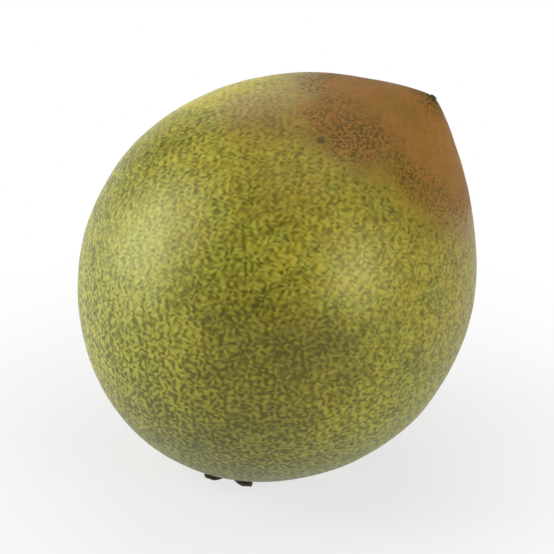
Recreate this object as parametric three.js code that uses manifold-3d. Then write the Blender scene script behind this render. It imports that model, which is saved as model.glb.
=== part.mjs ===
// A whole ripe lucuma lying on the small flat spot that its own weight has pressed into its underside.
// Millimetres, +Z up. The origin is the centre of that flat spot, and the surface it lies on is Z = 0.
// The pointed blossom end leans up towards +X, and the calyx sits low on the side that faces -Y.

import * as THREE from "three";
import { mergeVertices } from "three/addons/utils/BufferGeometryUtils.js";
import Module from "manifold-3d";

// ---- Driving dimensions: lengths in millimetres, angles in degrees ----

// The flesh is a ball that rises to a blunt cone at the blossom end and swells at the stem end.
const EQUATOR_RADIUS = 40;
const CONE_RISE = 12;
const CONE_SPREAD = 21;
const CONE_ROUNDING = 2.2;
const STEM_SWELL = 2.9;
const STEM_SWELL_SPREAD = 42;

// The blossom end, and the calyx, which isn't quite opposite it because the fruit grew lopsided.
const BLOSSOM_LEAN = 40;
const BLOSSOM_HEADING = 9;
const CALYX_LEAN = 158.9;
const CALYX_HEADING = 232.7;

// Low broad swellings that keep the fruit from being a turned shape.
const SWELLINGS = [
  { lean: 78, heading: 305, height: 0.5, spread: 30 },
  { lean: 106, heading: 188, height: -0.4, spread: 30 },
  { lean: 28, heading: 64, height: 0.7, spread: 22 },
  { lean: 72, heading: 110, height: -0.5, spread: 26 },
  { lean: 156, heading: 15, height: 1.3, spread: 26 },
];

// How much of the underside the flat spot takes off.
const FLAT_SPOT_DEPTH = 0.8;

// The shallow seat that the calyx sits in, and the low collar of flesh round it.
const CALYX_SEAT_DEPTH = 1.7;
const CALYX_SEAT_SPREAD = 6.5;
const CALYX_COLLAR_RISE = 0.7;
const CALYX_COLLAR_SPREAD = 14;

// The dry nub that the style leaves on the blossom end.
const STYLE_RADIUS = 1.7;
const STYLE_HEIGHT = 0.6;
const STYLE_ROOT = 3;

// The calyx: sepals in a ring round the broken stalk, those on the floor side worn short.
// Reaches are measured from the calyx's middle, and GAP is the space between neighbouring pieces.
const STALK_RADIUS = 1.6;
const STALK_HEIGHT = 1.1;
const SEPAL_REACHES = [8.4, 5, 3.5, 3.7, 8.4];
const SEPAL_WIDTH = 3.6;
const SEPAL_TIP_LENGTH = 0.6;
const SEPAL_THICKNESS = 0.6;
const SEPAL_TIP_LIFT = 0.1;
const SEPAL_FIRST_TURN = 58;
const GAP = 0.3;

// Mesh fineness, and the distance under which two vertices are one.
const RINGS = 56;
const SPOKES = 64;
const RING_CROWDING = 1.15;
const SMALL_SPOKES = 20;
const CURVE_STEPS = 5;
const MERGE_DISTANCE = 1e-4;

// ---- Directions and the shape of the flesh ----

/** Unit direction that leans so far from straight up, towards a heading turned from +X. */
function direction(lean, heading) {
  const polar = THREE.MathUtils.degToRad(lean);
  const turn = THREE.MathUtils.degToRad(heading);
  return new THREE.Vector3(
    Math.sin(polar) * Math.cos(turn),
    Math.sin(polar) * Math.sin(turn),
    Math.cos(polar),
  );
}

const BLOSSOM = direction(BLOSSOM_LEAN, BLOSSOM_HEADING);
const STEM_END = BLOSSOM.clone().negate();
const CALYX = direction(CALYX_LEAN, CALYX_HEADING);
const UP = new THREE.Vector3(0, 0, 1);
const POLE = new THREE.Vector3(0, 1, 0);

/** Height of a smooth swelling of the given spread, at an angle from its middle. */
function swelling(height, spread, angle) {
  return height * Math.exp(-((angle / spread) ** 2));
}

/** Distance from the middle of the fruit to its skin, in a given direction. */
function skinRadius(towards) {
  const from = (centre) => THREE.MathUtils.radToDeg(towards.angleTo(centre));
  const coneAngle = Math.hypot(from(BLOSSOM), CONE_ROUNDING);
  let radius = EQUATOR_RADIUS + CONE_RISE * Math.exp(-coneAngle / CONE_SPREAD);
  radius += swelling(STEM_SWELL, STEM_SWELL_SPREAD, from(STEM_END));
  radius += swelling(CALYX_COLLAR_RISE, CALYX_COLLAR_SPREAD, from(CALYX));
  radius -= swelling(CALYX_SEAT_DEPTH, CALYX_SEAT_SPREAD, from(CALYX));
  for (const { lean, heading, height, spread } of SWELLINGS) {
    radius += swelling(height, spread, from(direction(lean, heading)));
  }
  return radius;
}

/** The point on the skin, or so far above it, in a given direction from the middle of the fruit. */
function skinPoint(towards, above = 0) {
  return towards.clone().multiplyScalar(skinRadius(towards) + above);
}

// ---- Solids ----

const wasm = await Module();
wasm.setup();

/** A three.js geometry as a manifold solid. */
function solid(geometry) {
  const bare = geometry.clone();
  bare.deleteAttribute("normal");
  bare.deleteAttribute("uv");
  const merged = mergeVertices(bare, MERGE_DISTANCE);
  return new wasm.Manifold(new wasm.Mesh({
    numProp: 3,
    vertProperties: merged.attributes.position.array,
    triVerts: new Uint32Array(merged.index.array),
  }));
}

/** A manifold solid as a three.js geometry. */
function geometryOf(shape) {
  const mesh = shape.getMesh();
  const geometry = new THREE.BufferGeometry();
  geometry.setAttribute("position", new THREE.BufferAttribute(mesh.vertProperties, 3));
  geometry.setIndex(new THREE.BufferAttribute(mesh.triVerts, 1));
  geometry.computeVertexNormals();
  return geometry;
}

/** A geometry with every vertex put where the given function says. */
function reshape(geometry, move) {
  const places = geometry.attributes.position;
  const vertex = new THREE.Vector3();
  for (let i = 0; i < places.count; i += 1) {
    vertex.fromBufferAttribute(places, i);
    const moved = move(vertex);
    places.setXYZ(i, moved.x, moved.y, moved.z);
  }
  return geometry;
}

/** The flesh without its flat spot: rings round the fruit's axis, crowded towards the blossom end. */
function roundFlesh() {
  const profile = [];
  for (let ring = 0; ring <= RINGS; ring += 1) {
    const polar = Math.PI * (1 - (1 - ring / RINGS) ** RING_CROWDING);
    const onAxis = ring === 0 || ring === RINGS;
    profile.push(new THREE.Vector2(onAxis ? 0 : Math.sin(polar), -Math.cos(polar)));
  }
  const ball = new THREE.LatheGeometry(profile, SPOKES);
  ball.applyQuaternion(new THREE.Quaternion().setFromUnitVectors(POLE, BLOSSOM));
  return reshape(ball, (vertex) => skinPoint(vertex.normalize()));
}

/** A low domed plug on the skin, with its foot so far above the skin, or below it if negative. */
function plug(towards, radius, height, foot) {
  const profile = new THREE.Path();
  profile.moveTo(0, foot);
  profile.lineTo(radius, foot);
  profile.lineTo(radius, Math.max(foot, 0) + GAP / 2);
  profile.quadraticCurveTo(radius, height, 0, height);
  const turned = new THREE.LatheGeometry(profile.getPoints(CURVE_STEPS), SMALL_SPOKES);
  turned.applyQuaternion(new THREE.Quaternion().setFromUnitVectors(POLE, towards));
  turned.translate(...skinPoint(towards));
  return turned;
}

/** One sepal: it widens with its share of the ring, then rounds to a tip that lifts off the skin. */
function sepal(reach, turn) {
  const share = Math.PI / SEPAL_REACHES.length;
  const edgeGap = GAP / 2 / Math.cos(share);
  const start = STALK_RADIUS + GAP;
  const halfBase = start * Math.tan(share) - edgeGap;
  const halfWidth = SEPAL_WIDTH / 2;
  const hip = (halfWidth + edgeGap) / Math.tan(share);
  const outline = new THREE.Shape();
  outline.moveTo(start, -halfBase);
  outline.lineTo(hip, -halfWidth);
  outline.quadraticCurveTo(reach - SEPAL_TIP_LENGTH, -halfWidth, reach, 0);
  outline.quadraticCurveTo(reach - SEPAL_TIP_LENGTH, halfWidth, hip, halfWidth);
  outline.lineTo(start, halfBase);
  const leaf = new THREE.ExtrudeGeometry(outline, {
    depth: SEPAL_THICKNESS,
    curveSegments: CURVE_STEPS,
    bevelEnabled: false,
  });
  leaf.rotateZ(THREE.MathUtils.degToRad(turn));
  const spread = new THREE.Quaternion().setFromUnitVectors(UP, CALYX);
  return reshape(leaf, ({ x, y, z }) => {
    const lift = SEPAL_TIP_LIFT * (Math.hypot(x, y) / reach) ** 3;
    const towards = new THREE.Vector3(x, y, EQUATOR_RADIUS).applyQuaternion(spread).normalize();
    return skinPoint(towards, GAP + z + lift);
  });
}

// ---- The fruit, set down on its flat spot ----

/** The flesh and skin in one grown piece: with the style's nub, and pressed flat underneath. */
function fruit() {
  const flesh = roundFlesh();
  flesh.computeBoundingBox();
  const floor = flesh.boundingBox.min.z + FLAT_SPOT_DEPTH;
  const below = new THREE.BoxGeometry(EQUATOR_RADIUS, EQUATOR_RADIUS, EQUATOR_RADIUS);
  below.translate(0, 0, floor - EQUATOR_RADIUS / 2);
  const nub = plug(BLOSSOM, STYLE_RADIUS, STYLE_HEIGHT, -STYLE_ROOT);
  return geometryOf(solid(flesh).add(solid(nub)).subtract(solid(below)));
}

/** The centre of the flat spot: the mean of the lowest corners of the pressed fruit. */
function flatSpotCentre(pressed) {
  pressed.computeBoundingBox();
  const floor = pressed.boundingBox.min.z;
  const places = pressed.attributes.position;
  const centre = new THREE.Vector3();
  let corners = 0;
  for (let i = 0; i < places.count; i += 1) {
    if (places.getZ(i) < floor + MERGE_DISTANCE) {
      centre.add(new THREE.Vector3().fromBufferAttribute(places, i));
      corners += 1;
    }
  }
  return centre.divideScalar(corners);
}

const SKIN = new THREE.MeshStandardMaterial({ color: 0x8c8728, roughness: 0.5, metalness: 0 });
const DRY = new THREE.MeshStandardMaterial({ color: 0x3a2a1a, roughness: 0.85, metalness: 0 });

const group = new THREE.Group();
const body = fruit();
group.position.copy(flatSpotCentre(body)).negate();

/** Adds one named piece to the fruit. */
function place(name, geometry, material) {
  const mesh = new THREE.Mesh(geometry, material);
  mesh.name = name;
  group.add(mesh);
}

place("fruit", body, SKIN);
place("stem_stub", plug(CALYX, STALK_RADIUS, STALK_HEIGHT, GAP), DRY);
SEPAL_REACHES.forEach((reach, index) => {
  const turn = SEPAL_FIRST_TURN + (360 / SEPAL_REACHES.length) * index;
  place(`sepal_${index + 1}`, sepal(reach, turn), DRY);
});

export default group;
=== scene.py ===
"""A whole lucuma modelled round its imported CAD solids, on a studio floor under soft lamps."""

import math

import bmesh
import bpy
from bpy.props import FloatProperty, FloatVectorProperty, IntProperty, PointerProperty
from mathutils import Matrix, Vector


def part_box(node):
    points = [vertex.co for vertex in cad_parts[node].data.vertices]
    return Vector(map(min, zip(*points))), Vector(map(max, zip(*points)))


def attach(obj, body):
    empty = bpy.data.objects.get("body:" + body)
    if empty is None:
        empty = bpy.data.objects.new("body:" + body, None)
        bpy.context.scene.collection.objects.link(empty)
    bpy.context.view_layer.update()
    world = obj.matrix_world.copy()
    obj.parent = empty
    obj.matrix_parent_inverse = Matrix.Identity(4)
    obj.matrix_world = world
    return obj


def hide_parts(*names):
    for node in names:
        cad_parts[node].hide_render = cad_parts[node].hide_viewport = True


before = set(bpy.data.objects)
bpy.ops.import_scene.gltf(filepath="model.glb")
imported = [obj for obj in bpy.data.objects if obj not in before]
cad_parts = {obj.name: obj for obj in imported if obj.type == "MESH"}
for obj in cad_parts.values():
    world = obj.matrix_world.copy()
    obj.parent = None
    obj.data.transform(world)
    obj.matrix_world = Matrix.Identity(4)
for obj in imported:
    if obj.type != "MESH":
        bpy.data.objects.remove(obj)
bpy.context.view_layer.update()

bl_info = {
    "name": "Lucuma",
    "version": (1, 0, 0),
    "blender": (4, 5, 0),
    "location": "View3D > Sidebar > Lucuma",
    "description": "Models a whole lucuma lying on its flat spot, with its dry calyx, on a studio floor",
    "category": "Add Mesh",
}

MM = 0.001

# ---- Places, all worked out from the frame ----


def corners(node):
    """Every corner of a CAD node, in the row frame."""
    return [vertex.co.copy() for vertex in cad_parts[node].data.vertices]


def middle_of(node):
    """The middle of a CAD node's box."""
    low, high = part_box(node)
    return (low + high) / 2


def off_tip(lean, turn):
    """The direction so many degrees from the blossom end, turned round it from the front."""
    side = BLOSSOM.cross(FRONT).normalized()
    leant = Matrix.Rotation(math.radians(lean), 3, side) @ BLOSSOM
    return Matrix.Rotation(math.radians(turn), 3, BLOSSOM) @ leant


FRONT = Vector((0, -1, 0))
MIDDLE = middle_of("fruit")
BLOSSOM_TIP = max(corners("fruit"), key=lambda corner: (corner - MIDDLE).length)
BLOSSOM = (BLOSSOM_TIP - MIDDLE).normalized()
STALK = middle_of("stem_stub")
CALYX = (STALK - MIDDLE).normalized()
SEPAL_NODES = sorted(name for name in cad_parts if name.startswith("sepal_"))

# Marks of this one fruit: freckles beside the russet's edge and a scar. Painted light too: a side whose
# mottle fades as painted sheen under the left highlight, and a side with painted shade, also more ochre.
FRECKLES = off_tip(29, -35)
SCAR = off_tip(38, -43)
PAINTED_SHEEN_SIDE = off_tip(103, -54)
PAINTED_SHADE_SIDE = off_tip(94, 0)
# Patches where the green is bronzed: direction, reach in degrees, and how strongly.
BRONZED = ((off_tip(43, -70), 24, 0.38), (off_tip(54, -36), 20, 0.14))
# Where the russet's edge draws back, or reaches out if the last number is negative: direction, reach
# and how far, in degrees.
EDGES = (
    (off_tip(25, -12), 10, 5),
    (off_tip(37, -3), 8, 3),
    (off_tip(37, -52), 16, -7),
    (off_tip(32, -32), 16, -4),
)
# Painted highlights and painted shade: the skin made paler, or darker if negative, where light and shade
# fall: direction, reach in degrees, and how much.
PAINTED_LIGHT_AND_SHADE = (
    (PAINTED_SHADE_SIDE, 34, -0.27),
    (off_tip(88, 1), 14, -0.12),
    (off_tip(92, -29), 18, -0.1),
    (off_tip(142, 28), 50, -0.22),
    (off_tip(65, -9), 23, 0.12),
    (off_tip(48, -70), 15, -0.18),
    (off_tip(64, -58), 15, 0.07),
    (off_tip(89, -81), 18, -0.09),
    (off_tip(56, -119), 38, 0.42),
)

# ---- Fixed colours and numbers of the materials ----

LENTICEL = (0.5, 0.46, 0.16)
BRONZE = (0.36, 0.22, 0.02)
DEEP_RUSSET = (0.31, 0.14, 0.02)
RUSSET_PIT = (0.16, 0.07, 0.012)
DRY_FLECK = (0.2, 0.15, 0.09)

# How softly a worm of the mottle ends, and how much the dark worms spread where the skin is darker,
# painted shade included.
WORM_SOFTNESS = 3.4
DARK_SPREAD = 2.5
# How softly the russet cap ends, and how far its edge follows the worms, both in degrees.
RUSSET_SOFTNESS = 2.5
RUSSET_FOLLOWS_WORMS = 2.2
# How much the worms stand out, where the pores count as 1.
WORM_RELIEF = 0.12

# The turn and the share that set each of a row of things well apart from the last.
GOLDEN_ANGLE = math.radians(137.5)
GOLDEN_SHARE = 0.618


# ---- Settings ----


class LucumaFruitSettings(bpy.types.PropertyGroup):
    """Shape and finish of the fruit's skin"""

    segments: IntProperty(
        name="Segments",
        description="Faces along each side of the cube that the fruit is rounded from, an odd number",
        default=29,
        min=9,
        max=31,
    )
    lump_height: FloatProperty(
        name="Lump height",
        description="How far the broad lumps of the flesh stand out",
        default=0.5 * MM,
        unit="LENGTH",
    )
    mottle_spacing: FloatProperty(
        name="Mottle spacing",
        description="Distance from one dark worm of the mottle to the next",
        default=1.2 * MM,
        unit="LENGTH",
    )
    russet_reach: FloatProperty(
        name="Russet reach",
        description="Angle from the blossom end at which the russet cap breaks up, in degrees",
        default=29,
    )
    roughness: FloatProperty(
        name="Roughness",
        description="Roughness of the green skin",
        default=0.44,
        min=0.0,
        max=1.0,
        subtype="FACTOR",
    )
    corky_roughness: FloatProperty(
        name="Corky roughness",
        description="Roughness of the russet cap, the scar and the dry tip",
        default=0.65,
        min=0.0,
        max=1.0,
        subtype="FACTOR",
    )
    relief: FloatProperty(
        name="Relief",
        description="How far the pores and worms of the skin seem to stand out",
        default=0.08 * MM,
        unit="LENGTH",
    )
    green_light: FloatVectorProperty(
        name="Light green",
        description="The light worms of the mottle towards the stem end",
        default=(0.42, 0.43, 0.05),
        size=3,
        subtype="COLOR",
    )
    green_dark: FloatVectorProperty(
        name="Dark green",
        description="The dark worms of the mottle towards the stem end",
        default=(0.09, 0.083, 0.0),
        size=3,
        subtype="COLOR",
    )
    ochre_light: FloatVectorProperty(
        name="Light ochre",
        description="The light worms of the mottle towards the blossom end",
        default=(0.49, 0.415, 0.035),
        size=3,
        subtype="COLOR",
    )
    ochre_dark: FloatVectorProperty(
        name="Dark ochre",
        description="The dark worms of the mottle towards the blossom end",
        default=(0.12, 0.09, 0.0),
        size=3,
        subtype="COLOR",
    )
    russet_colour: FloatVectorProperty(
        name="Russet",
        description="The corky orange-brown cap at the blossom end",
        default=(0.38, 0.155, 0.03),
        size=3,
        subtype="COLOR",
    )
    freckle_colour: FloatVectorProperty(
        name="Freckles",
        description="Dark brown dots where the russet breaks up, and round the tip",
        default=(0.085, 0.05, 0.006),
        size=3,
        subtype="COLOR",
    )
    tip_colour: FloatVectorProperty(
        name="Dry tip",
        description="The style's dry nub at the blossom end, and the scar",
        default=(0.045, 0.035, 0.006),
        size=3,
        subtype="COLOR",
    )


class LucumaCalyxSettings(bpy.types.PropertyGroup):
    """Shape and colour of the dry sepals and the stalk's stub"""

    width: FloatProperty(
        name="Sepal width",
        description="Width of a dry sepal where it is widest",
        default=3.4 * MM,
        unit="LENGTH",
    )
    reach: FloatProperty(
        name="Sepal reach",
        description="Length that a sepal keeps when it dries, as a share of its packed sepal's",
        default=0.93,
        min=0.5,
        max=1.0,
        subtype="FACTOR",
    )
    thickness: FloatProperty(
        name="Sepal thickness",
        description="Thickness of a dry sepal where it is curled up, short of its tip",
        default=1.05 * MM,
        unit="LENGTH",
    )
    thinnest: FloatProperty(
        name="Thinnest",
        description="Thickness at the foot and tip, as a share of that where it is curled up",
        default=0.12,
        min=0.1,
        max=1.0,
        subtype="FACTOR",
    )
    clearance: FloatProperty(
        name="Clearance",
        description="Gap between a sepal and the skin under it",
        default=0.1 * MM,
        unit="LENGTH",
    )
    colour: FloatVectorProperty(
        name="Dry brown",
        description="Colour of the dry sepals and the stalk",
        default=(0.045, 0.028, 0.014),
        size=3,
        subtype="COLOR",
    )
    pale_colour: FloatVectorProperty(
        name="Pale fibres",
        description="The worn ridges and torn fibres of the sepals and the stalk",
        default=(0.13, 0.085, 0.045),
        size=3,
        subtype="COLOR",
    )


class LucumaStageSettings(bpy.types.PropertyGroup):
    """Camera, floor and lamps"""

    elevation: FloatProperty(
        name="Camera elevation",
        description="How far above the level of the floor the camera looks from",
        default=math.radians(26),
        subtype="ANGLE",
    )
    distance: FloatProperty(
        name="Camera distance",
        description="From the camera to the middle of the fruit",
        default=0.8,
        unit="LENGTH",
    )
    filling: FloatProperty(
        name="Filling",
        description="Share of the picture's width that the fruit fills",
        default=0.72,
        min=0.1,
        max=1.0,
        subtype="FACTOR",
    )
    floor_colour: FloatVectorProperty(
        name="Floor",
        description="Colour of the floor",
        default=(0.65, 0.65, 0.64),
        size=3,
        subtype="COLOR",
    )
    lamp_power: FloatProperty(
        name="Lamp power",
        description="Power of a soft lamp, of which each lamp takes its own share",
        default=2.0,
        unit="POWER",
    )


# ---- Modelling helpers ----


def deselect_everything():
    """Leaves edit mode if need be, and leaves nothing selected."""
    if bpy.context.object and bpy.context.object.mode != "OBJECT":
        bpy.ops.object.mode_set(mode="OBJECT")
    bpy.ops.object.select_all(action="DESELECT")


def activate(piece):
    """Makes a piece the only selected one."""
    deselect_everything()
    bpy.context.view_layer.objects.active = piece
    piece.select_set(True)


def apply_modifier(piece, kind, **values):
    """Adds a modifier with the given settings and applies it."""
    modifier = piece.modifiers.new(kind.lower(), kind)
    for name, value in values.items():
        setattr(modifier, name, value)
    bpy.ops.object.modifier_apply(modifier=modifier.name)


def select_in_edit_mode(piece, chosen, of="verts"):
    """In edit mode, selects the vertices or faces that a test picks out."""
    mode = {"verts": "VERT", "faces": "FACE"}[of]
    bpy.ops.mesh.select_mode(type=mode)
    bpy.ops.mesh.select_all(action="DESELECT")
    mesh = bmesh.from_edit_mesh(piece.data)
    for element in getattr(mesh, of):
        if chosen(element):
            element.select_set(True)
    mesh.select_flush_mode()
    bmesh.update_edit_mesh(piece.data)


def towards(direction):
    """The turn that takes +Z to a direction."""
    return direction.to_track_quat("Z", "Y")


def draw_out(distance):
    """In edit mode, extrudes the selected faces outwards, or inwards by a negative distance."""
    bpy.ops.mesh.extrude_region_shrink_fatten(TRANSFORM_OT_shrink_fatten={"value": distance})


def round_off(piece):
    """Divides the faces of a piece twice, so that they curve into each other."""
    apply_modifier(piece, "SUBSURF", levels=2, render_levels=2)


def roughen(piece, name, size, height):
    """Moves a piece's surface in and out by soft clouds about so big and, in all, so high."""
    clouds = bpy.data.textures.new(name, "CLOUDS")
    clouds.noise_scale = size
    clouds.noise_depth = 2
    apply_modifier(piece, "DISPLACE", texture=clouds, texture_coords="LOCAL", strength=height)


def hand_over(piece, name, node, material):
    """Names a finished piece, gives it its material and lets it stand for a CAD node."""
    piece.name = name
    piece.data.name = name
    piece.data.materials.clear()
    piece.data.materials.append(material)
    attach(piece, "root")
    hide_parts(node)


# ---- Material helpers ----


class Tree:
    """A node tree being filled: makes nodes, sets their inputs and links them."""

    def __init__(self, tree):
        self.nodes = tree.nodes
        self.links = tree.links
        self.nodes.clear()

    def node(self, kind, inputs=(), **settings):
        """Adds a node. Inputs are pairs of a socket's name or number and a value or a socket."""
        made = self.nodes.new(kind)
        for name, value in settings.items():
            setattr(made, name, value)
        for key, value in inputs:
            self.feed(made.inputs[key], value)
        return made

    def feed(self, socket, value):
        """Links a socket to another, or sets its value."""
        if isinstance(value, bpy.types.NodeSocket):
            self.links.new(value, socket)
        else:
            socket.default_value = value

    def group(self, name, inputs):
        """Places one of the shared node groups with its own values, and gives what it puts out."""
        made = self.nodes.new("ShaderNodeGroup")
        made.node_tree = effect_group(name)
        for key, value in inputs:
            self.feed(made.inputs[key], value)
        return made.outputs[0]

    def maths(self, operation, *values):
        """A Math node of one operation on up to three values."""
        return self.node("ShaderNodeMath", enumerate(values), operation=operation).outputs[0]

    def plus(self, first, second):
        """Two values added."""
        return self.maths("ADD", first, second)

    def times(self, first, second):
        """Two values multiplied."""
        return self.maths("MULTIPLY", first, second)

    def times_plus(self, first, second, third):
        """Two values multiplied, and a third added."""
        return self.maths("MULTIPLY_ADD", first, second, third)

    def greatest(self, first, *others):
        """The greatest of several values."""
        for other in others:
            first = self.maths("MAXIMUM", first, other)
        return first

    def vectors(self, operation, *values, output=0):
        """A Vector Math node of one operation on up to three values."""
        return self.node(
            "ShaderNodeVectorMath", enumerate(values), operation=operation
        ).outputs[output]

    def ramp(self, value, first, last, bottom=0.0, top=1.0):
        """Goes smoothly from bottom to top as a value rises or falls from first to last."""
        ends = [("From Min", first), ("From Max", last), ("To Min", bottom), ("To Max", top)]
        return self.node(
            "ShaderNodeMapRange", [("Value", value), *ends], interpolation_type="SMOOTHSTEP"
        ).outputs[0]

    def blend(self, share, first, second, how="MIX"):
        """Mixes a share of a second colour into a first, or blends them another way."""
        # A Mix node has its own sockets for each kind of data, so those for colours go by number.
        colours = [(0, share), (6, rgba(first)), (7, rgba(second))]
        return self.node(
            "ShaderNodeMix", colours, data_type="RGBA", blend_type=how
        ).outputs[2]

    def seen_directly(self):
        """1 for what the camera sees, straight or in a reflection, and 0 for the light things get."""
        path = self.node("ShaderNodeLightPath").outputs
        mirrored = self.greatest(path["Is Glossy Ray"], path["Is Transmission Ray"])
        return self.greatest(path["Is Camera Ray"], mirrored)


class Surface(Tree):
    """A material's tree, whose noise, specks and patches follow the place on the piece."""

    def __init__(self, tree):
        super().__init__(tree)
        self.place = self.node("ShaderNodeTexCoord").outputs["Object"]

    def noise(self, size, detail=2.0, roughness=0.5):
        """Noise from 0 to 1 whose lumps are about so big, in metres."""
        values = [("Scale", 1 / size), ("Detail", detail), ("Roughness", roughness)]
        return self.node("ShaderNodeTexNoise", [("Vector", self.place), *values]).outputs[0]

    def sway(self, value, lumps, reach, detail=2.0):
        """A value that noise, with lumps about so big, moves up and down by up to about so much."""
        return self.plus(value, self.times_plus(self.noise(lumps, detail), 2 * reach, -reach))

    def degrees_from(self, direction):
        """How many degrees the place lies from a direction, seen from the middle of the fruit."""
        return self.group("angle_from", [("Place", self.place), ("Direction", direction)])

    def patch(self, direction, outer, inner, lumps, waviness):
        """Rises from 0 to 1 between two angles from a direction, with a wavy outline."""
        away = self.sway(self.degrees_from(direction), lumps, waviness)
        return self.ramp(away, outer, inner)

    def specks(self, spacing, radius, share):
        """Round specks so far apart. Their radius is a share of that, and a share of them shows."""
        values = [("Cells Per Metre", 1 / spacing), ("Radius", radius), ("Share", share)]
        return self.group("specks", [("Place", self.place), *values])

    def bump(self, strength, distance, height):
        """A normal that makes a height stand out."""
        values = [("Strength", strength), ("Distance", distance), ("Height", height)]
        return self.node("ShaderNodeBump", values).outputs[0]


def rgba(colour):
    """A colour with full alpha, or a socket as it is."""
    if isinstance(colour, bpy.types.NodeSocket):
        return colour
    return (*colour[:3], 1.0)


# ---- Effects that the materials share, each a node group ----


def new_group(name, inputs, output):
    """An empty shader node group with named inputs and one number out, and its two ends."""
    group = bpy.data.node_groups.new(name, "ShaderNodeTree")
    tree = Tree(group)
    for socket, kind in inputs.items():
        group.interface.new_socket(socket, in_out="INPUT", socket_type=kind)
    group.interface.new_socket(output, in_out="OUTPUT", socket_type="NodeSocketFloat")
    start = tree.node("NodeGroupInput").outputs
    end = tree.node("NodeGroupOutput").inputs[output]
    return group, tree, start, end


def angle_group(name):
    """How many degrees a place lies from a direction, seen from the middle of the fruit."""
    inputs = {"Place": "NodeSocketVector", "Direction": "NodeSocketVector"}
    group, tree, start, end = new_group(name, inputs, "Degrees")
    ray = tree.vectors("NORMALIZE", tree.vectors("SUBTRACT", start["Place"], MIDDLE))
    cosine = tree.vectors("DOT_PRODUCT", ray, start["Direction"], output="Value")
    tree.feed(end, tree.maths("DEGREES", tree.maths("ARCCOSINE", cosine)))
    return group


def specks_group(name, core=0.4):
    """Scattered round specks, soft outside their core: one in each cell, some left out."""
    inputs = {
        "Place": "NodeSocketVector",
        "Cells Per Metre": "NodeSocketFloat",
        "Radius": "NodeSocketFloat",
        "Share": "NodeSocketFloat",
    }
    group, tree, start, end = new_group(name, inputs, "Mask")
    cells = tree.node(
        "ShaderNodeTexVoronoi", [("Vector", start["Place"]), ("Scale", start["Cells Per Metre"])]
    ).outputs
    chance = tree.node("ShaderNodeSeparateColor", [(0, cells["Color"])]).outputs[0]
    kept = tree.maths("LESS_THAN", chance, start["Share"])
    speck = tree.ramp(cells["Distance"], start["Radius"], tree.times(start["Radius"], core))
    tree.feed(end, tree.times(speck, kept))
    return group


def mottle_group(name, waves=9, bend=2 * MM, bend_length=2.5 * MM):
    """A fine labyrinth of worms: waves of about one length that cross every way, on a slow bend."""
    inputs = {"Place": "NodeSocketVector", "Spacing": "NodeSocketFloat"}
    group, tree, start, end = new_group(name, inputs, "Height")
    drift = tree.node(
        "ShaderNodeTexNoise",
        [("Vector", start["Place"]), ("Scale", 1 / bend_length), ("Detail", 0.0)],
    ).outputs["Color"]
    bent = tree.vectors("MULTIPLY_ADD", drift, (bend, bend, bend), start["Place"])
    turns = tree.maths("DIVIDE", 2 * math.pi, start["Spacing"])
    phase = tree.node(
        "ShaderNodeVectorMath", [("Vector", bent), ("Scale", turns)], operation="SCALE"
    ).outputs[0]
    total = 0.0
    for index in range(waves):
        along = tree.vectors("DOT_PRODUCT", phase, spread_out(index, waves), output="Value")
        # Each wave turns 0.7 to 1.3 times as fast as the spacing says, and starts elsewhere.
        quickness = 0.7 + 0.6 * (index * GOLDEN_SHARE % 1)
        head_start = 1.7 * index
        crest = tree.maths("COSINE", tree.times_plus(along, quickness, head_start))
        total = tree.plus(total, crest)
    tree.feed(end, tree.maths("DIVIDE", total, math.sqrt(waves / 2)))
    return group


def spread_out(index, count):
    """One of so many directions spread evenly over the upper half of a ball."""
    rise = (index + 0.5) / count
    across = math.sqrt(1 - rise * rise)
    turn = index * GOLDEN_ANGLE
    return (across * math.cos(turn), across * math.sin(turn), rise)


EFFECTS = {"angle_from": angle_group, "specks": specks_group, "mottle": mottle_group}


def effect_group(name):
    """One of the shared node groups, built the first time that a material asks for it."""
    return bpy.data.node_groups.get(name) or EFFECTS[name](name)


# ---- Materials ----


def new_material(name):
    """An empty material and its tree."""
    material = bpy.data.materials.new(name)
    material.use_nodes = True
    return material, Surface(material.node_tree)


def shaded(name, paint):
    """A material with one Principled shader, whose inputs a function feeds."""
    material, surface = new_material(name)
    shader = surface.node("ShaderNodeBsdfPrincipled")
    paint(surface, shader.inputs)
    surface.node("ShaderNodeOutputMaterial", [(0, shader.outputs[0])])
    return material


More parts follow.
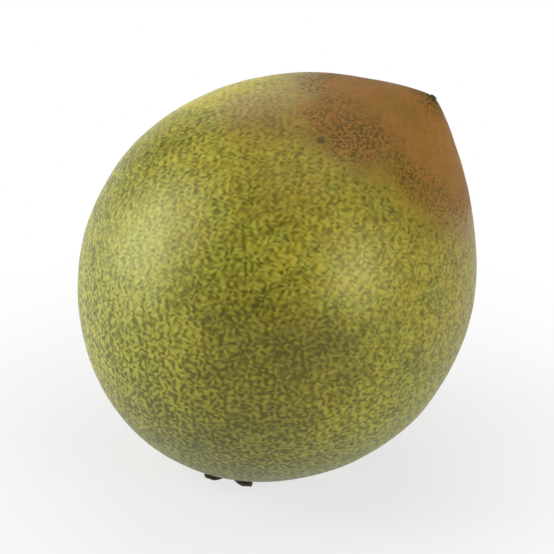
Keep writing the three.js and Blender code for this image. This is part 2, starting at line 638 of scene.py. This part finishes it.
class SkinPaint:
    """The fruit's colour, laid on in layers: mottle, lenticels, russet, freckles and dry marks."""

    def __init__(self, surface, settings):
        self.surface = surface
        self.settings = settings
        self.from_tip = surface.degrees_from(BLOSSOM)
        self.worms = self.mottle()
        self.edge = self.russet_edge()
        self.cap = self.russet_cap()
        self.dry = self.dry_marks()

    def colour(self):
        """Every layer, from the mottled green up to the dry tip."""
        surface = self.surface
        russet = self.russet()
        colour = self.mottled_green()
        colour = surface.blend(self.lenticels(), colour, LENTICEL)
        colour = surface.blend(self.washes(), colour, russet)
        colour = surface.blend(self.cap, colour, russet)
        colour = surface.blend(self.freckles(), colour, self.settings.freckle_colour)
        return surface.blend(self.dry, colour, self.settings.tip_colour)

    def mottle(self):
        """Height of the worms, broken up by fine noise: light ones above 0, and dark ones below."""
        spacing = self.settings.mottle_spacing
        place = self.surface.place
        worms = self.surface.group("mottle", [("Place", place), ("Spacing", spacing)])
        return self.surface.sway(worms, lumps=1 * MM, reach=2.4, detail=1.0)

    def tone_with_painted_light(self):
        """How bright the skin is, about 1: its clouds, with painted shade and painted highlights on top.
        """
        surface = self.surface
        tone_with_painted_light = surface.sway(1.0, lumps=28 * MM, reach=0.12)
        tone_with_painted_light = surface.sway(tone_with_painted_light, lumps=5 * MM, reach=0.3)
        # Painted highlights and painted shade, each patch on its own side of the fruit.
        for side, reach, push in PAINTED_LIGHT_AND_SHADE:
            near = surface.patch(side, reach, reach / 3, lumps=9 * MM, waviness=7)
            tone_with_painted_light = surface.times_plus(near, push, tone_with_painted_light)
        return tone_with_painted_light

    def mottled_green(self):
        """Dark and light worms, strongest towards the stem end, where both are green."""
        surface = self.surface
        tone_with_painted_light = self.tone_with_painted_light()
        strength = surface.ramp(self.from_tip, 55, 145, bottom=0.95, top=1.8)
        # Painted sheen: the mottle fades where the left highlight lies.
        painted_sheen_fade = surface.ramp(surface.degrees_from(PAINTED_SHEEN_SIDE), 34, 10, bottom=0, top=-0.45)
        level = surface.times(self.worms, surface.plus(strength, painted_sheen_fade))
        # More worms turn dark where the tone holds painted shade, and fewer where it holds painted
        # highlights.
        level = surface.plus(level, surface.times_plus(tone_with_painted_light, DARK_SPREAD, -DARK_SPREAD))
        dark = surface.ramp(level, WORM_SOFTNESS, -WORM_SOFTNESS)
        light_colour, dark_colour = self.worm_colours()
        colour = surface.blend(dark, light_colour, dark_colour)
        # The tone then darkens and lightens the colour: painted shade and painted highlights.
        return surface.blend(1.0, colour, tone_with_painted_light, "MULTIPLY")

    def worm_colours(self):
        """Colours of the light and dark worms, which turn from green to ochre towards the tip."""
        surface, settings = self.surface, self.settings
        clouded = surface.sway(self.from_tip, lumps=18 * MM, reach=30)
        clouded = surface.sway(clouded, lumps=4 * MM, reach=70)
        # The side with painted shade is also more ochre.
        shady = surface.times(surface.ramp(surface.degrees_from(PAINTED_SHADE_SIDE), 45, 10), 0.7)
        ripe = surface.greatest(surface.ramp(clouded, 105, 35), shady)
        light_colour = surface.blend(ripe, settings.green_light, settings.ochre_light)
        dark_colour = surface.blend(ripe, settings.green_dark, settings.ochre_dark)
        flushed = surface.times(surface.ramp(surface.noise(5 * MM, detail=3.0), 0.5, 0.72), 0.35)
        light_colour = surface.blend(flushed, light_colour, BRONZE)
        return light_colour, dark_colour

    def lenticels(self):
        """Sparse pale dots."""
        dots = self.surface.specks(spacing=2.4 * MM, radius=0.11, share=0.3)
        return self.surface.times(dots, 0.5)

    def russet_edge(self):
        """Degrees from the tip, made uneven so that the russet's edge isn't a plain circle."""
        surface = self.surface
        edge = surface.sway(self.from_tip, lumps=14 * MM, reach=3)
        for side, reach, push in EDGES:
            away = surface.degrees_from(side)
            edge = surface.plus(edge, surface.ramp(away, reach, reach / 4, bottom=0, top=push))
        edge = surface.sway(edge, lumps=3 * MM, reach=4)
        return surface.times_plus(self.worms, -RUSSET_FOLLOWS_WORMS, edge)

    def russet_cap(self):
        """Where russet covers the skin, within its reach of the tip."""
        reach = self.settings.russet_reach
        return self.surface.ramp(self.edge, reach + RUSSET_SOFTNESS, reach - RUSSET_SOFTNESS)

    def russet(self):
        """Corky orange-brown in two shades, with small darker pits."""
        surface = self.surface
        cork = surface.ramp(surface.noise(6 * MM, detail=4.0, roughness=0.6), 0.35, 0.65)
        russet = surface.blend(cork, self.settings.russet_colour, DEEP_RUSSET)
        pits = surface.times(surface.ramp(surface.noise(0.9 * MM), 0.5, 0.35), 0.35)
        return surface.blend(pits, russet, RUSSET_PIT)

    def washes(self):
        """Where russet lies thinly over the green: beside the cap, round the calyx, on patches."""
        surface = self.surface
        reach = self.settings.russet_reach
        beside_cap = surface.times(surface.ramp(self.edge, reach + 15, reach), 0.65)
        round_calyx = surface.times(surface.patch(CALYX, 10, 4, lumps=3 * MM, waviness=3), 0.6)
        wash = surface.greatest(beside_cap, round_calyx)
        for side, outer, most in BRONZED:
            near = surface.patch(side, outer, outer / 4, lumps=9 * MM, waviness=6)
            wash = surface.greatest(wash, surface.times(near, most))
        return wash

    def freckles(self):
        """Dark dots: here and there along the russet's edge, in a patch beside it, round the tip."""
        surface = self.surface
        reach = self.settings.russet_reach
        inside = surface.ramp(self.edge, reach - 10, reach)
        outside = surface.ramp(self.edge, reach + 8, reach)
        here_and_there = surface.ramp(surface.noise(8 * MM), 0.34, 0.56)
        along_edge = surface.times(surface.times(inside, outside), here_and_there)
        beside_edge = surface.patch(FRECKLES, 13, 5, lumps=4 * MM, waviness=4)
        round_tip = surface.patch(BLOSSOM, 8, 3, lumps=3 * MM, waviness=3)
        where = surface.greatest(along_edge, beside_edge, round_tip)
        dots = surface.ramp(surface.noise(0.62 * MM), 0.56, 0.42)
        return surface.times(dots, surface.times(where, 0.85))

    def dry_marks(self):
        """The style's dry nub, and the scar."""
        surface = self.surface
        nub = surface.patch(BLOSSOM, 2.3, 1.4, lumps=1.5 * MM, waviness=0.5)
        scar = surface.patch(SCAR, 1.7, 0.7, lumps=1.5 * MM, waviness=0.8)
        return surface.greatest(nub, surface.times(scar, 0.75))


def skin_material(settings):
    """Mottled green skin that turns ochre towards its russet cap, with a dry tip and a scar."""

    def paint(surface, inputs):
        skin = SkinPaint(surface, settings)
        corky = surface.greatest(skin.cap, skin.dry)
        roughness = surface.ramp(corky, 0, 1, settings.roughness, settings.corky_roughness)
        pores = surface.noise(0.5 * MM)
        height = surface.times_plus(skin.worms, WORM_RELIEF, pores)
        surface.feed(inputs["Base Color"], skin.colour())
        surface.feed(inputs["Roughness"], roughness)
        surface.feed(inputs["Normal"], surface.bump(0.5, settings.relief, height))
        inputs["IOR"].default_value = 1.65
        inputs["Specular Tint"].default_value = (1.0, 1.0, 0.5, 1.0)

    return shaded("lucuma_skin", paint)


def dry_material(settings):
    """Dry brown that the sepals and the stalk share, paler on the worn ridges of its fibres."""

    def paint(surface, inputs):
        fibres = surface.noise(0.8 * MM, detail=4.0, roughness=0.65)
        worn = surface.ramp(fibres, 0.4, 0.7)
        colour = surface.blend(worn, settings.colour, settings.pale_colour)
        flecks = surface.times(surface.specks(spacing=1.1 * MM, radius=0.25, share=0.3), 0.4)
        surface.feed(inputs["Base Color"], surface.blend(flecks, colour, DRY_FLECK))
        surface.feed(inputs["Roughness"], surface.ramp(fibres, 0.3, 0.7, bottom=0.9, top=0.7))
        surface.feed(inputs["Normal"], surface.bump(0.6, 0.1 * MM, fibres))

    return bpy.data.materials.get("lucuma_calyx") or shaded("lucuma_calyx", paint)


# ---- Operators ----


class LUCUMA_OT_fruit(bpy.types.Operator):
    """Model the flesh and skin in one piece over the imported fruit"""

    bl_idname = "lucuma.fruit"
    bl_label = "Fruit"

    # The style's nub: the foot round it, its wall, how high it stands, its rim and the hollow inside.
    NUB_FOOT = 0.6 * MM
    NUB_WALL = 0.25 * MM
    NUB_HEIGHT = 0.45 * MM
    NUB_RIM = 0.35 * MM
    NUB_HOLLOW = 0.15 * MM
    # Skin lower than this is pressed flat on the surface.
    PRESSED_BELOW = 0.2 * MM
    # A face whose middle is nearer than this to a place is the face there.
    NEAR = 0.1 * MM

    def execute(self, context):
        settings = context.scene.lucuma_fruit
        piece = self.ball(settings)
        self.fit_to_flesh(piece)
        self.raise_style(piece)
        bpy.ops.object.transform_apply(location=True, rotation=True, scale=True)
        round_off(piece)
        roughen(piece, "flesh_lumps", size=17 * MM, height=settings.lump_height)
        roughen(piece, "skin_grain", size=3 * MM, height=0.06 * MM)
        self.press_flat(piece)
        bpy.ops.object.shade_smooth()
        hand_over(piece, "fruit_skin", "fruit", skin_material(settings))
        return {"FINISHED"}

    def ball(self, settings):
        """A cube in even faces rounded to a ball, with the middle of one side at the blossom end."""
        deselect_everything()
        bpy.ops.mesh.primitive_cube_add(
            size=2 * (BLOSSOM_TIP - MIDDLE).length,
            location=MIDDLE,
            rotation=towards(BLOSSOM).to_euler(),
        )
        piece = bpy.context.object
        bpy.ops.object.mode_set(mode="EDIT")
        bpy.ops.mesh.select_all(action="SELECT")
        bpy.ops.mesh.subdivide(number_cuts=settings.segments - 1)
        bpy.ops.object.mode_set(mode="OBJECT")
        apply_modifier(piece, "CAST", factor=1.0, cast_type="SPHERE")
        return piece

    def fit_to_flesh(self, piece):
        """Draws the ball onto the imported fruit, and evens out its facets."""
        apply_modifier(
            piece,
            "SHRINKWRAP",
            target=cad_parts["fruit"],
            wrap_method="PROJECT",
            use_negative_direction=True,
            use_positive_direction=True,
        )
        apply_modifier(piece, "LAPLACIANSMOOTH", iterations=4, lambda_factor=0.6)

    def raise_style(self, piece):
        """Draws the dry nub of the style up out of the face at the blossom end."""
        bpy.ops.object.mode_set(mode="EDIT")
        middles = [face.center.copy() for face in piece.data.polygons]
        tip = max(middles, key=lambda middle: middle.z)
        select_in_edit_mode(
            piece, lambda face: (face.calc_center_median() - tip).length < self.NEAR, "faces"
        )
        bpy.ops.mesh.inset(thickness=self.NUB_FOOT)
        bpy.ops.mesh.inset(thickness=self.NUB_WALL)
        draw_out(self.NUB_HEIGHT)
        bpy.ops.mesh.inset(thickness=self.NUB_RIM)
        draw_out(-self.NUB_HOLLOW)
        bpy.ops.object.mode_set(mode="OBJECT")

    def press_flat(self, piece):
        """Flattens the underside onto the surface that the fruit lies on."""
        bpy.ops.object.mode_set(mode="EDIT")
        select_in_edit_mode(piece, lambda vertex: vertex.co.z < self.PRESSED_BELOW)
        bpy.ops.transform.resize(value=(1, 1, 0), center_override=(0, 0, 0))
        bpy.ops.object.mode_set(mode="OBJECT")


class LUCUMA_OT_stem_stub(bpy.types.Operator):
    """Model the broken stub of the stalk in the middle of the calyx"""

    bl_idname = "lucuma.stem_stub"
    bl_label = "Stem stub"

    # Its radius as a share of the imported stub's longest side, its height, and how much its foot flares.
    RADIUS_SHARE = 0.4
    HEIGHT = 1.6 * MM
    FLARE = 1.25
    # A face is an end of the stub if its normal leans this far along the stub.
    ALONG = 0.9
    # The broken end: its edge, and the groove between the edge and the heart.
    EDGE_WIDTH = 0.2 * MM
    GROOVE_WIDTH = 0.45 * MM
    GROOVE_DEPTH = 0.3 * MM

    def execute(self, context):
        settings = context.scene.lucuma_calyx
        piece = self.cut_stub()
        round_off(piece)
        roughen(piece, "torn_fibres", size=0.6 * MM, height=0.25 * MM)
        bpy.ops.object.transform_apply(location=True, rotation=True, scale=True)
        bpy.ops.object.shade_smooth()
        hand_over(piece, "broken_stalk", "stem_stub", dry_material(settings))
        return {"FINISHED"}

    def cut_stub(self):
        """A short round stub with a flared foot, whose broken end has a groove round its heart."""
        low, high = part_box("stem_stub")
        deselect_everything()
        bpy.ops.mesh.primitive_cylinder_add(
            vertices=12,
            radius=max(high - low) * self.RADIUS_SHARE,
            depth=self.HEIGHT,
            end_fill_type="NGON",
            location=STALK,
            rotation=towards(CALYX).to_euler(),
        )
        piece = bpy.context.object
        bpy.ops.object.mode_set(mode="EDIT")
        select_in_edit_mode(piece, lambda face: face.normal.z < -self.ALONG, "faces")
        bpy.ops.transform.resize(value=(self.FLARE, self.FLARE, self.FLARE))
        select_in_edit_mode(piece, lambda face: face.normal.z > self.ALONG, "faces")
        bpy.ops.mesh.inset(thickness=self.EDGE_WIDTH)
        draw_out(-self.GROOVE_DEPTH)
        bpy.ops.mesh.inset(thickness=self.GROOVE_WIDTH)
        draw_out(self.GROOVE_DEPTH)
        bpy.ops.object.mode_set(mode="OBJECT")
        return piece


class LUCUMA_OT_sepals(bpy.types.Operator):
    """Model one dry sepal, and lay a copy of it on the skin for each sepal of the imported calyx"""

    bl_idname = "lucuma.sepals"
    bl_label = "Sepals"

    # Faces along a leaf and across it, and how far its foot lies from the middle of the stalk.
    COLUMNS = 12
    ROWS = 6
    FOOT = 1.3 * MM
    # The foot's width as a share of the greatest, which is at the shoulder, so far along the leaf.
    FOOT_WIDTH = 0.5
    SHOULDER = 0.4
    # From the shoulder, the leaf narrows along a curve that would end a little past its tip.
    TAPER_LENGTH = 0.65
    TAPER_CURVE = 1.8
    # The higher this is, the nearer to its tip a leaf is thickest.
    CURL_CURVE = 2.2

    def execute(self, context):
        settings = context.scene.lucuma_calyx
        leaf = self.flat_leaf(settings)
        material = dry_material(settings)
        for node in SEPAL_NODES:
            activate(leaf)
            bpy.ops.object.duplicate(linked=False)
            piece = context.object
            self.turn_to(piece, node, settings)
            self.lay_on_skin(piece, settings)
            self.dry_out(piece, settings)
            hand_over(piece, f"dry_{node}", node, material)
        activate(leaf)
        bpy.ops.object.delete()
        return {"FINISHED"}

    def flat_leaf(self, settings):
        """A flat leaf one unit long, from its narrow foot at the origin to its pointed tip on +X."""
        deselect_everything()
        bpy.ops.mesh.primitive_grid_add(
            x_subdivisions=self.COLUMNS, y_subdivisions=self.ROWS, size=1, location=(0.5, 0, 0)
        )
        bpy.ops.object.transform_apply(location=True)
        leaf = bpy.context.object
        bpy.ops.object.mode_set(mode="EDIT")
        bpy.ops.object.vertex_group_add()
        for column in range(self.COLUMNS + 1):
            along = column / self.COLUMNS
            width = self.width_at(along, settings)
            select_in_edit_mode(leaf, lambda vertex: abs(vertex.co.x - along) < 0.1 / self.COLUMNS)
            bpy.ops.transform.resize(value=(1, width, 1), center_override=(along, 0, 0))
            fullness = math.sin(math.pi * along**self.CURL_CURVE)
            bpy.context.tool_settings.vertex_group_weight = fullness
            bpy.ops.object.vertex_group_assign()
        bpy.ops.object.mode_set(mode="OBJECT")
        return leaf

    def width_at(self, along, settings):
        """Width of the leaf at a share of its length."""
        swell = math.sin(math.pi * min(along / (2 * self.SHOULDER), 0.5))
        taper = (max(along - self.SHOULDER, 0) / self.TAPER_LENGTH) ** self.TAPER_CURVE
        width = settings.width * (self.FOOT_WIDTH + (1 - self.FOOT_WIDTH) * swell)
        return width * (1 - taper)

    def turn_to(self, piece, node, settings):
        """Turns a leaf from the stalk towards the tip of its CAD sepal, and gives it its length."""
        upright = towards(CALYX)
        far = max(corners(node), key=lambda corner: (corner - STALK).length)
        tip = upright.inverted() @ (far - STALK)
        turn = Matrix.Rotation(math.atan2(tip.y, tip.x), 4, "Z")
        piece.matrix_world = Matrix.Translation(STALK) @ upright.to_matrix().to_4x4() @ turn
        bpy.ops.object.mode_set(mode="EDIT")
        bpy.ops.mesh.select_all(action="SELECT")
        length = (tip.xy.length - self.FOOT) * settings.reach
        bpy.ops.transform.resize(value=(length, 1, 1), orient_type="LOCAL", center_override=STALK)
        bpy.ops.transform.translate(value=(self.FOOT, 0, 0), orient_type="LOCAL")
        bpy.ops.object.mode_set(mode="OBJECT")

    def lay_on_skin(self, piece, settings):
        """Bends a flat leaf down onto the skin."""
        apply_modifier(
            piece,
            "SHRINKWRAP",
            target=bpy.data.objects["fruit_skin"],
            wrap_method="PROJECT",
            use_project_z=True,
            use_negative_direction=True,
            use_positive_direction=True,
            offset=settings.clearance,
        )

    def dry_out(self, piece, settings):
        """Gives a leaf its thickness, most where it is curled up, and its wrinkles."""
        apply_modifier(
            piece,
            "SOLIDIFY",
            thickness=settings.thickness,
            offset=1,
            vertex_group=piece.vertex_groups[0].name,
            thickness_vertex_group=settings.thinnest,
        )
        round_off(piece)
        roughen(piece, "dry_wrinkles", size=1.2 * MM, height=0.15 * MM)
        bpy.ops.object.transform_apply(location=True, rotation=True, scale=True)
        bpy.ops.object.shade_smooth()


class LUCUMA_OT_stage(bpy.types.Operator):
    """Set up the floor, the lamps and the camera"""

    bl_idname = "lucuma.stage"
    bl_label = "Stage"

    FLOOR_SIZE = 6.0
    FLOOR_GRAIN = (0.69, 0.69, 0.68)
    # How white the floor is near the flat spot, and from where to where it turns all white.
    WHITE_SHARE = 0.72
    WHITE_FROM = 25 * MM
    WHITE_BEYOND = 110 * MM
    # How strongly the world fills the shadows.
    FILL = 0.06
    # The heights between which the world's white surround fades, from 0 when level to 1 overhead.
    SURROUND_FADES = 0.06
    SURROUND_ENDS = 0.16
    LAMP_DISTANCE = 0.6
    # Each soft lamp: name, direction from the fruit, size in metres, and share of the lamp power.
    LAMPS = (
        ("low_left_softbox", (-1.0, -0.01, 0.06), 0.46, 1.2),
        ("high_left_softbox", (-0.86, -0.01, 0.51), 0.36, 1.0),
        ("front_right_softbox", (0.67, -0.65, 0.36), 0.24, 0.84),
        ("top_softbox", (0.24, 0.1, 0.97), 0.5, 0.45),
        ("back_softbox", (-0.15, 0.8, 0.58), 0.3, 0.3),
    )

    def execute(self, context):
        settings = context.scene.lucuma_stage
        self.lay_floor(settings)
        self.hang_lamps(settings)
        self.light_world(context.scene)
        self.place_camera(context.scene, settings)
        context.scene.view_settings.view_transform = "Standard"
        return {"FINISHED"}

    def lay_floor(self, settings):
        """A pale floor that turns into the white background away from the fruit."""
        deselect_everything()
        bpy.ops.mesh.primitive_plane_add(size=self.FLOOR_SIZE, location=(0, 0, 0))
        floor = bpy.context.object
        floor.name = "floor"

        material, surface = new_material("studio_floor")
        grain = surface.blend(surface.noise(1 * MM), settings.floor_colour, self.FLOOR_GRAIN)
        lit = surface.node("ShaderNodeBsdfPrincipled", [("Base Color", grain), ("Roughness", 0.9)])
        white = surface.node("ShaderNodeEmission", [("Strength", 1.0)])
        away = surface.vectors("LENGTH", surface.place, output="Value")
        whiteness = surface.ramp(away, self.WHITE_FROM, self.WHITE_BEYOND, bottom=self.WHITE_SHARE)
        share = surface.times(surface.seen_directly(), whiteness)
        shaders = [(0, share), (1, lit.outputs[0]), (2, white.outputs[0])]
        mixed = surface.node("ShaderNodeMixShader", shaders)
        surface.node("ShaderNodeOutputMaterial", [(0, mixed.outputs[0])])
        floor.data.materials.append(material)

    def hang_lamps(self, settings):
        """Two large soft lamps on the left, a small one at the front right, and two dim ones."""
        for name, direction, size, share in self.LAMPS:
            aim = Vector(direction).normalized()
            bpy.ops.object.light_add(
                type="AREA",
                location=MIDDLE + aim * self.LAMP_DISTANCE,
                rotation=towards(aim).to_euler(),
            )
            lamp = bpy.context.object
            lamp.name = name
            lamp.data.size = size
            lamp.data.energy = settings.lamp_power * share

    def light_world(self, scene):
        """A dim grey that fills the shadows, and a white surround low down where it is seen."""
        world = bpy.data.worlds.new("studio")
        world.use_nodes = True
        scene.world = world
        tree = Tree(world.node_tree)
        sky = tree.node("ShaderNodeTexCoord").outputs["Generated"]
        height = tree.node("ShaderNodeSeparateXYZ", [(0, sky)]).outputs["Z"]
        low_down = tree.ramp(height, self.SURROUND_ENDS, self.SURROUND_FADES)
        surround = tree.times(tree.seen_directly(), low_down)
        strength = tree.ramp(surround, 0, 1, bottom=self.FILL)
        light = tree.node("ShaderNodeBackground", [("Color", (1, 1, 1, 1)), ("Strength", strength)])
        tree.node("ShaderNodeOutputWorld", [(0, light.outputs[0])])

    def place_camera(self, scene, settings):
        """A long lens looking down on the fruit from the front."""
        away = Vector((0, -math.cos(settings.elevation), math.sin(settings.elevation)))
        bpy.ops.object.camera_add(
            location=MIDDLE + away * settings.distance, rotation=towards(away).to_euler()
        )
        camera = bpy.context.object
        camera.name = "camera"
        low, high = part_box("fruit")
        field = (high.x - low.x) / settings.filling
        camera.data.lens = camera.data.sensor_width * settings.distance / field
        camera.data.clip_start = 0.01
        scene.camera = camera


# ---- Panel and registration ----


class LUCUMA_PT_build(bpy.types.Panel):
    """Lists the steps that model the lucuma"""

    bl_label = "Lucuma"
    bl_idname = "LUCUMA_PT_build"
    bl_space_type = "VIEW_3D"
    bl_region_type = "UI"
    bl_category = "Lucuma"

    def draw(self, context):
        for operator in OPERATORS:
            self.layout.operator(operator.bl_idname)


SETTINGS = {
    "lucuma_fruit": LucumaFruitSettings,
    "lucuma_calyx": LucumaCalyxSettings,
    "lucuma_stage": LucumaStageSettings,
}
OPERATORS = (LUCUMA_OT_stage, LUCUMA_OT_fruit, LUCUMA_OT_stem_stub, LUCUMA_OT_sepals)
CLASSES = (*SETTINGS.values(), *OPERATORS, LUCUMA_PT_build)


def register():
    """Adds the add-on's classes, and its settings to every scene."""
    for cls in CLASSES:
        bpy.utils.register_class(cls)
    for name, group in SETTINGS.items():
        setattr(bpy.types.Scene, name, PointerProperty(type=group))


def unregister():
    """Takes the settings and the classes away again."""
    for name in SETTINGS:
        delattr(bpy.types.Scene, name)
    for cls in reversed(CLASSES):
        bpy.utils.unregister_class(cls)


def main():
    """Builds the stage and every piece."""
    register()
    bpy.ops.lucuma.stage()
    bpy.ops.lucuma.fruit()
    bpy.ops.lucuma.stem_stub()
    bpy.ops.lucuma.sepals()


if __name__ == "__main__":
    main()
